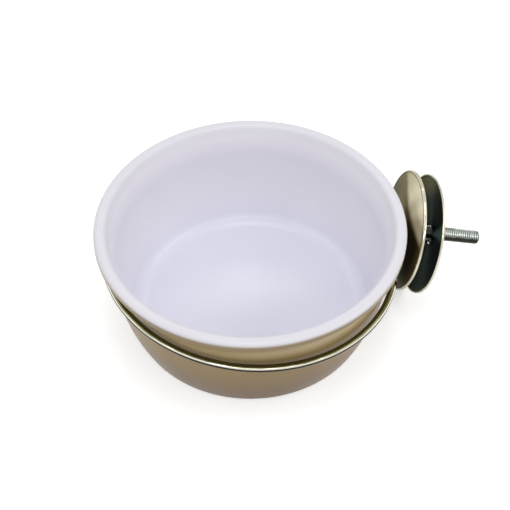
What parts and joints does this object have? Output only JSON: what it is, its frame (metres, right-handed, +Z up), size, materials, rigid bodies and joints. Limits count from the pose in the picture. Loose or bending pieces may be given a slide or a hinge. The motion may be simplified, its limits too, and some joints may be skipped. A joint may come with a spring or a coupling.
{
  "type": "bolt-on seed cup",
  "caption": "Round glossy cup for seed or water, held in a wire ring whose stud clamps cage bars between dished discs.",
  "frame": {"origin": "centre of the cup's foot, on the surface that the cup stands on", "axes": "+Z up out of the cup's mouth; +X level, in the direction of the clamp's free end; +Y to the left of +X seen from above"},
  "size_m": [0.1919, 0.1488, 0.0622],
  "materials": {
    "cup_plastic": "glossy white inside and lip, tan outside",
    "ring_steel": "polished wire",
    "weld_steel": "plated weld bead",
    "stud_steel": "zinc-plated thread",
    "disc_steel": "spun and polished sheet",
    "nut_steel": "zinc-plated"
  },
  "bodies": {
    "holder": {"wire_ring": "ring_steel", "ring_weld": "weld_steel", "stud": "stud_steel", "inner_disc": "disc_steel"},
    "cup": {"cup": "cup_plastic"},
    "outer_disc": {"outer_disc": "disc_steel"},
    "clamp_nut": {"clamp_nut": "nut_steel"}
  },
  "joints": [
    {"name": "cup_lift", "type": "slide", "parent": "holder", "child": "cup", "axis": [0, 0, 1], "range_m": [-0.0035, 0.055]},
    {"name": "disc_slide", "type": "slide", "parent": "holder", "child": "outer_disc", "axis": [0.9724, 0, -0.2334], "range_m": [-0.0085, 0.0185]},
    {"name": "nut_spin", "type": "hinge", "parent": "outer_disc", "child": "clamp_nut", "pos_m": [0.09256, 0.0157, 0.02952], "axis": [0.9724, 0, -0.2334], "range_deg": [-3065, 6670]}
  ],
  "couplings": [
    {"joint": "nut_spin", "follows": "disc_slide", "rad_per_m": 6283.2}
  ]
}
